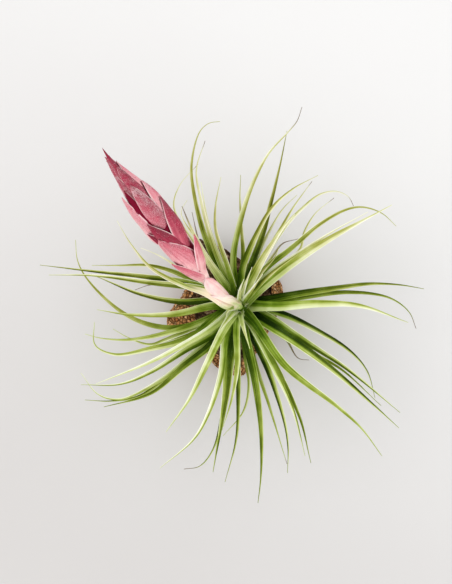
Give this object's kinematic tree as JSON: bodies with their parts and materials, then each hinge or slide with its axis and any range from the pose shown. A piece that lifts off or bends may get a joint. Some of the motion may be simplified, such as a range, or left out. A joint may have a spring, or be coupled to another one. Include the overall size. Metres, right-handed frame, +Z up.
{
  "type": "aeranthos air plant on a piece of cork bark",
  "caption": "Rosette of narrow channelled leaves with a leaning spike of overlapping pink bracts, standing in a flat-bottomed piece of cork bark.",
  "frame": {"origin": "on the flat underside of the cork bark, straight below the stem", "axes": "+Z up out of the cork along the stem, +Y away from the viewer of the plan, the spike leans towards -X and +Y"},
  "size_m": [0.1903, 0.1897, 0.1231],
  "materials": {
    "cork_bark": "rough granular cork with dark furrowed bark on top",
    "green_leaf": "satin leathery leaf with fine pale scales and lime rims",
    "pale_bract": "matt papery cream and pale pink bracts",
    "pink_bract": "satin papery rose-pink bracts with a scurfy bloom"
  },
  "bodies": {
    "root": {"cork_bark": "cork_bark", "leaf_rosette": "green_leaf", "flower_stalk": "pale_bract", "flower_spike": "pink_bract"}
  },
  "joints": []
}
